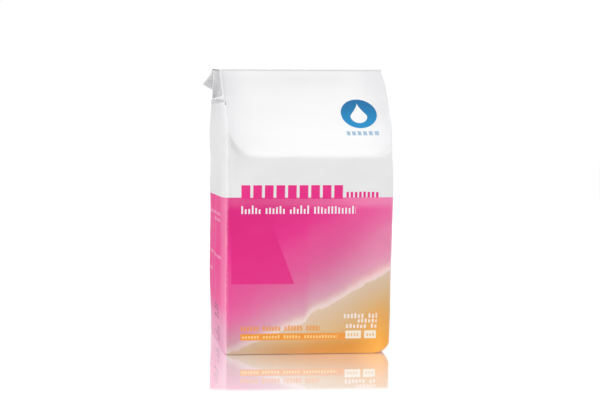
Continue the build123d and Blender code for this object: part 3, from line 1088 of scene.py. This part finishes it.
def shoulder_print(nodes):
    """The front shoulder: white, with a round blue badge that holds a plain drop."""
    x, _, z = nodes.position()
    lean = 0.853                       # the shoulder leans back, so heights on it look shorter
    centre_x, centre_z, radius = 36.4, 154.0, 11.2
    across = nodes.minus(x, centre_x)
    up = nodes.math("DIVIDE", nodes.minus(z, centre_z), lean)
    away = nodes.distance(across, up)
    disc = nodes.fall(away, radius - 0.2, radius + 0.2)
    blue = nodes.mix(nodes.step(up, -11, 11), srgb(2, 134, 190), srgb(0, 104, 158))
    white = srgb(238, 238, 239)
    nodes.colour = nodes.mix(disc, white, blue)
    nodes.paint(white, nodes.times(disc, badge_drop(nodes, across, up)))
    line = nodes.blocks(
        x, z, 26.6, 46.6, 139.8, 142.6, 3.5, 7.0, fill=0.66, uneven=0.1, spaces=-1.0)
    nodes.paint(srgb(110, 160, 196), nodes.times(line, 0.75))
    # painted shade: grey laid towards the shoulder's edges and top left corner, but not on the badge
    off_badge = nodes.step(away, radius - 0.2, radius + 0.2)
    nodes.paint(SHADE_GREY, nodes.times(shoulder_shade(nodes, x, z), off_badge))
    # painted shade: a grey line along the ridge at the shoulder's top
    nodes.paint(SHADE_GREY, nodes.step(z, AXIS_HEIGHT - 0.5, AXIS_HEIGHT + 0.1, 0.0, 0.8))
    # painted shade: a grey valley beside the rolled left edge of the shoulder
    from_fold = nodes.size(nodes.plus(x, HALF_WIDTH - 1.4))
    valley = nodes.times(nodes.fall(from_fold, 0, 1.4, 0.45), nodes.step(z, PLEAT - 8, PLEAT + 2))
    nodes.paint(SHADE_GREY, valley)
    finish_film(nodes, gloss=0.42, coat=0.0, level=0.25)


def badge_drop(nodes, across, up):
    """A drop: a circle whose upper half narrows to a point."""
    tip = 8.0
    narrow = nodes.fall(up, -2.5, tip, 1.0, 0.02)
    drop_up = nodes.times(nodes.plus(up, 2.0), narrow)
    away = nodes.distance(nodes.math("DIVIDE", across, narrow), drop_up)
    return nodes.times(nodes.fall(away, 5.0, 5.4), nodes.math("LESS_THAN", up, tip))


def shoulder_shade(nodes, x, z):
    """Painted shade: grey towards both edges of the shoulder, most at the right, and in its top left
    corner.
    """
    edges = nodes.plus(nodes.step(nodes.size(x), 30, 54, 0.0, 0.34), nodes.step(x, 38, 56, 0.0, 0.14))
    edges = nodes.times(edges, nodes.step(z, 135, 175, 0.5, 1.15))
    corner = nodes.times(nodes.fall(x, -54, -36, 0.25), nodes.step(z, 156, 176))
    return nodes.plus(edges, corner)


def plain_film(nodes):
    """Bare white film."""
    nodes.colour = BARE_FILM
    finish_film(nodes, gloss=0.36, coat=0.1)


def tuck_shade_film(nodes):
    """Bare film folded in above the pleat, with painted shade: greyer down in the pocket."""
    _, y, z = nodes.position()
    nodes.colour = nodes.mix(nodes.step(z, PLEAT, 180), srgb(232, 232, 234), BARE_FILM)
    # painted shade: grey on the rear half just above the pleat
    rear = nodes.times(nodes.step(y, -9, -1), nodes.fall(z, PLEAT, PLEAT + 3))
    nodes.paint(SHADE_GREY, rear)
    finish_film(nodes, gloss=0.36, coat=0.1)


def fold_shade_film(nodes):
    """Bare film along the ridge, painted grey as shade where it is rolled tight."""
    nodes.colour = SHADE_GREY
    finish_film(nodes, gloss=0.4)


def heat_seal(nodes):
    """Film fused under heat: a little greyer and less glossy, with a fine diamond from the jaws."""
    share = nodes.step(nodes.noise(90, 3.0), 0.3, 0.7)
    colour = nodes.mix(share, srgb(236, 237, 239), srgb(246, 246, 248))
    nodes.put(nodes.shader.inputs["Base Color"], colour)
    rough = nodes.step(nodes.noise(300), 0.3, 0.7, 0.34, 0.48)
    nodes.put(nodes.shader.inputs["Roughness"], rough)
    x, y, _ = nodes.position()
    one = nodes.math("SINE", nodes.times(nodes.plus(x, y), 4.2))
    two = nodes.math("SINE", nodes.times(nodes.minus(x, y), 4.2))
    nodes.bump(nodes.times(one, two), 0.35, 0.0003)


def powder(nodes):
    """Fine, matt powder with soft lumps."""
    lumps = nodes.noise(350, 5.0, 0.65)
    colour = nodes.mix(nodes.step(lumps, 0.3, 0.7), srgb(238, 206, 214), srgb(248, 228, 232))
    nodes.put(nodes.shader.inputs["Base Color"], colour)
    nodes.put(nodes.shader.inputs["Roughness"], nodes.step(lumps, 0.2, 0.8, 0.85, 1.0))
    nodes.bump(lumps, 0.6, 0.0008)


def surface(node):
    """The function that builds the look of a CAD node's piece."""
    if node == "powder_fill":
        return powder
    if node in ("top_seal", "base_seal"):
        return heat_seal
    if node == "front_panel":
        return front_print
    if node == "front_shoulder":
        return shoulder_print
    if node == "ridge_fold":
        return fold_shade_film
    if node.startswith(("back_panel", "base_flap", "back_fin")):
        return back_print
    if "gusset" in node and "flap" not in node:
        return gusset_print
    return tuck_shade_film if "tuck" in node else plain_film


def material(node):
    """The material of a CAD node's piece. Pieces that look the same share it."""
    look = surface(node)
    if look not in MATERIALS:
        nodes = Nodes(look.__name__)
        look(nodes)
        MATERIALS[look] = nodes.material
    return MATERIALS[look]


# --- stage ---
def make_floor():
    """A glossy white table, whose mirror image of the bag fades out a short way from it."""
    size = 6.0
    mesh = bpy.data.meshes.new("floor")
    corners = [(-size, -size, 0), (size, -size, 0), (size, size, 0), (-size, size, 0)]
    mesh.from_pydata(corners, [], [(0, 1, 2, 3)])
    floor = bpy.data.objects.new("floor", mesh)
    floor.location.z = -0.00005
    bpy.context.scene.collection.objects.link(floor)
    mesh.materials.append(table_material())


def table_material():
    """Matt white that glows a little to the camera, under a mirror that fades with distance."""
    nodes = Nodes("glossy_table")
    x, y, _ = nodes.position()
    beyond = [
        nodes.math("MAXIMUM", nodes.minus(nodes.size(value), half), 0.0)
        for value, half in ((x, HALF_WIDTH), (y, HALF_DEPTH))
    ]
    away = nodes.distance(*beyond)
    fade = nodes.times(nodes.scaled(away, -0.0046, 0.82), nodes.fall(away, 63, 70))
    mirror = nodes.math("MAXIMUM", fade, 0.04)
    diffuse = nodes.add("ShaderNodeBsdfDiffuse")
    diffuse.inputs["Color"].default_value = (0.4, 0.4, 0.4, 1.0)
    glow = nodes.add("ShaderNodeEmission")
    path = nodes.add("ShaderNodeLightPath")
    glow_strength = nodes.step(path.outputs["Is Camera Ray"], 0.0, 1.0, 0.0, 0.62)
    nodes.put(glow.inputs["Strength"], glow_strength)
    matt = nodes.add("ShaderNodeAddShader")
    nodes.put(matt.inputs[0], diffuse.outputs[0])
    nodes.put(matt.inputs[1], glow.outputs[0])
    glossy = nodes.add("ShaderNodeBsdfGlossy")
    glossy.inputs["Color"].default_value = (1.0, 1.0, 1.0, 1.0)
    glossy.inputs["Roughness"].default_value = 0.03
    both = nodes.add("ShaderNodeMixShader")
    nodes.put(both.inputs[0], mirror)
    nodes.put(both.inputs[1], matt.outputs[0])
    nodes.put(both.inputs[2], glossy.outputs[0])
    nodes.put(nodes.tree.nodes["Material Output"].inputs["Surface"], both.outputs[0])
    nodes.tree.nodes.remove(nodes.shader)
    return nodes.material


def make_world():
    """White all round: full white where it is seen or mirrored, and dimmer as a source of light."""
    world = bpy.data.worlds.new("studio")
    bpy.context.scene.world = world
    world.use_nodes = True
    tree = world.node_tree
    background = tree.nodes["Background"]
    background.inputs["Color"].default_value = (1.0, 1.0, 1.0, 1.0)
    path = tree.nodes.new("ShaderNodeLightPath")
    strength = tree.nodes.new("ShaderNodeMapRange")
    tree.links.new(path.outputs["Is Diffuse Ray"], strength.inputs["Value"])
    strength.inputs["To Min"].default_value = 1.02
    strength.inputs["To Max"].default_value = 0.6
    tree.links.new(strength.outputs[0], background.inputs["Strength"])


def add_light(name, place, target, size, power):
    """A square softbox that points at the target. Its power is in watts."""
    data = bpy.data.lights.new(name, "AREA")
    data.size = size
    data.energy = power
    light = bpy.data.objects.new(name, data)
    light.location = place
    direction = np.array(target) - np.array(place)
    flat = math.hypot(direction[0], direction[1])
    light.rotation_euler = (
        math.atan2(flat, -direction[2]), 0, math.atan2(direction[1], direction[0]) - math.pi / 2
    )
    bpy.context.scene.collection.objects.link(light)


def add_sun(name, towards, strength, spread):
    """A very soft light from far away, which falls on the whole table alike."""
    data = bpy.data.lights.new(name, "SUN")
    data.energy = strength
    data.angle = math.radians(spread)
    light = bpy.data.objects.new(name, data)
    light.rotation_euler = Vector(towards).to_track_quat("Z", "Y").to_euler()
    bpy.context.scene.collection.objects.link(light)


def make_lights():
    middle = (0, 0, 0.1)
    add_sun("overhead", (0.1, -0.6, 0.8), strength=1.345, spread=70)
    add_light("left_softbox", (-1.2, -0.1, 0.5), middle, 0.5, 4.3)
    add_light("right_softbox", (1.2, -0.3, 0.6), middle, 0.5, 2.0)
    add_light("low_fill", (-0.8, -0.9, 0.06), middle, 0.5, 1.3)
    add_light("back_softbox", (0.1, 1.2, 0.7), middle, 0.6, 4.0)


def make_camera():
    data = bpy.data.cameras.new("camera")
    data.lens = 43.34
    data.sensor_width = 36.0
    data.shift_x = 0.269
    data.clip_start = 0.01
    data.clip_end = 50.0
    camera = bpy.data.objects.new("camera", data)
    tilt_down, turn_right = math.radians(4.17), math.radians(2.45)
    camera.location = (-0.1274, -0.4821, 0.1321)
    camera.rotation_euler = (math.pi / 2 - tilt_down, 0.0, -turn_right)
    bpy.context.scene.collection.objects.link(camera)
    bpy.context.scene.camera = camera


make_camera()
make_world()
make_lights()
make_floor()
pouch = make_pouch()
make_flap(pouch)
make_ridge_bead()
make_back_fin(pouch)
make_flap_fin()
make_base(pouch)
make_powder()
bpy.context.scene.view_settings.view_transform = "Standard"
